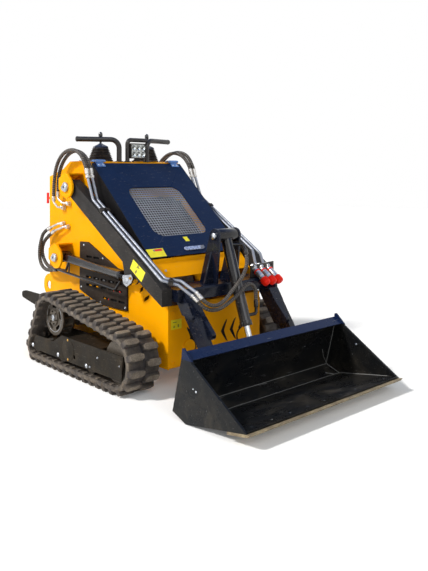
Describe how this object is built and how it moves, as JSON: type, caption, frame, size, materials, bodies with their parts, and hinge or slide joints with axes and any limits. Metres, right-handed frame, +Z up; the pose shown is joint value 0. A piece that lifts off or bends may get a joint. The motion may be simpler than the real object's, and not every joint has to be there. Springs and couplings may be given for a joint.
{
  "type": "mini track loader",
  "caption": "Compact stand-on track loader with twin lift arms, hydraulic cylinders, a tilting bucket, rubber tracks, a lifting hood and a folding operator platform.",
  "frame": {"origin": "middle of the whole machine's footprint box, on the ground", "axes": "+Z up, -Y forward towards the bucket, -X the operator's right-hand side"},
  "size_m": [1.092, 2.28, 1.2885],
  "materials": {
    "rubber_track": "black rubber, dusty lugs",
    "track_steel": "black paint, dusty",
    "frame_paint": "brown-black paint",
    "yellow_paint": "gloss yellow",
    "engine": "dark",
    "black_tube": "black paint",
    "black_rubber": "moulded black rubber",
    "lamp": "cast housing and lens",
    "red_plastic": "red",
    "zinc": "zinc plated",
    "hose": "black hose with spiral guard",
    "arm_paint": "black gloss",
    "cylinder_paint": "black gloss",
    "rod_chrome": "chromed",
    "bucket_paint": "black gloss",
    "worn_steel": "worn, rusty edge",
    "navy_paint": "gloss navy blue"
  },
  "bodies": {
    "root": {"track_right": "rubber_track", "track_left": "rubber_track", "sprockets": "track_steel", "front_idlers": "track_steel", "rollers": "track_steel", "track_frame_right": "frame_paint", "track_frame_left": "frame_paint", "side_plate_right": "yellow_paint", "side_plate_left": "yellow_paint", "belly_pan": "yellow_paint", "front_panel": "yellow_paint", "nose_panel": "yellow_paint", "rear_panel": "yellow_paint", "control_deck": "yellow_paint", "engine_block": "engine", "grilles": "frame_paint", "handle_right": "black_tube", "handle_left": "black_tube", "joysticks": "black_rubber", "work_lamp": "lamp", "isolator_key": "red_plastic", "body_pins": "zinc", "hood_hinges": "zinc", "hose_fittings": "zinc", "cylinder_hoses": "hose", "lift_hoses": "hose"},
    "lift_arms": {"arm_right": "arm_paint", "arm_left": "arm_paint", "cross_beam": "arm_paint", "boom_legs": "arm_paint", "tilt_tower": "arm_paint", "arm_pins": "zinc", "arm_pipes_right": "zinc", "arm_pipes_left": "zinc", "couplers": "zinc", "tilt_hoses": "hose"},
    "lift_barrel_right": {"lift_barrel_right": "cylinder_paint"},
    "lift_barrel_left": {"lift_barrel_left": "cylinder_paint"},
    "lift_rod_right": {"lift_rod_right": "rod_chrome"},
    "lift_rod_left": {"lift_rod_left": "rod_chrome"},
    "tilt_barrel": {"tilt_barrel": "cylinder_paint"},
    "tilt_rod": {"tilt_rod": "rod_chrome"},
    "bucket": {"quick_attach": "arm_paint", "bucket_shell": "bucket_paint", "cutting_edge": "worn_steel"},
    "hood": {"hood_panel": "navy_paint", "hood_mesh": "navy_paint", "hood_fittings": "zinc"},
    "platform": {"platform": "frame_paint"}
  },
  "joints": [
    {"name": "lift", "type": "hinge", "parent": "root", "child": "lift_arms", "pos_m": [0, 0.382, 0.963], "axis": [-1, 0, 0], "range_deg": [0, 75], "deforming": ["lift_hoses", "cylinder_hoses"]},
    {"name": "tilt", "type": "hinge", "parent": "lift_arms", "child": "bucket", "pos_m": [0, -0.6, 0.062], "axis": [-1, 0, 0], "range_deg": [-55, 15], "deforming": ["tilt_hoses"]},
    {"name": "hood_open", "type": "hinge", "parent": "root", "child": "hood", "pos_m": [0, 0.29, 1.106], "axis": [-1, 0, 0], "range_deg": [0, 60]},
    {"name": "platform_fold", "type": "hinge", "parent": "root", "child": "platform", "pos_m": [0, 0.784, 0.268], "axis": [1, 0, 0], "range_deg": [0, 80]},
    {"name": "lift_barrel_swing_right", "type": "hinge", "parent": "root", "child": "lift_barrel_right", "pos_m": [-0.365, 0.498, 0.565], "axis": [-1, 0, 0], "range_deg": [-1, 55.04]},
    {"name": "lift_rod_extend_right", "type": "slide", "parent": "lift_barrel_right", "child": "lift_rod_right", "axis": [0, -0.9971, -0.0759], "range_m": [-0.002, 0.4014]},
    {"name": "lift_barrel_swing_left", "type": "hinge", "parent": "root", "child": "lift_barrel_left", "pos_m": [0.365, 0.498, 0.565], "axis": [-1, 0, 0], "range_deg": [-1, 55.04]},
    {"name": "lift_rod_extend_left", "type": "slide", "parent": "lift_barrel_left", "child": "lift_rod_left", "axis": [0, -0.9971, -0.0759], "range_m": [-0.002, 0.4014]},
    {"name": "tilt_barrel_swing", "type": "hinge", "parent": "lift_arms", "child": "tilt_barrel", "pos_m": [0, -0.455, 0.73], "axis": [-1, 0, 0], "range_deg": [-1.42, 4.39]},
    {"name": "tilt_rod_extend", "type": "slide", "parent": "tilt_barrel", "child": "tilt_rod", "axis": [0, -0.3262, -0.9453], "range_m": [-0.0281, 0.0955]}
  ],
  "couplings": [
    {"joint": "lift_barrel_swing_right", "follows": "lift", "ratio": 0.72055},
    {"joint": "lift_rod_extend_right", "follows": "lift", "m_per_rad": 0.3051},
    {"joint": "lift_barrel_swing_left", "follows": "lift", "ratio": 0.72055},
    {"joint": "lift_rod_extend_left", "follows": "lift", "m_per_rad": 0.3051},
    {"joint": "tilt_barrel_swing", "follows": "tilt", "ratio": -0.07087},
    {"joint": "tilt_rod_extend", "follows": "tilt", "m_per_rad": -0.09758}
  ]
}
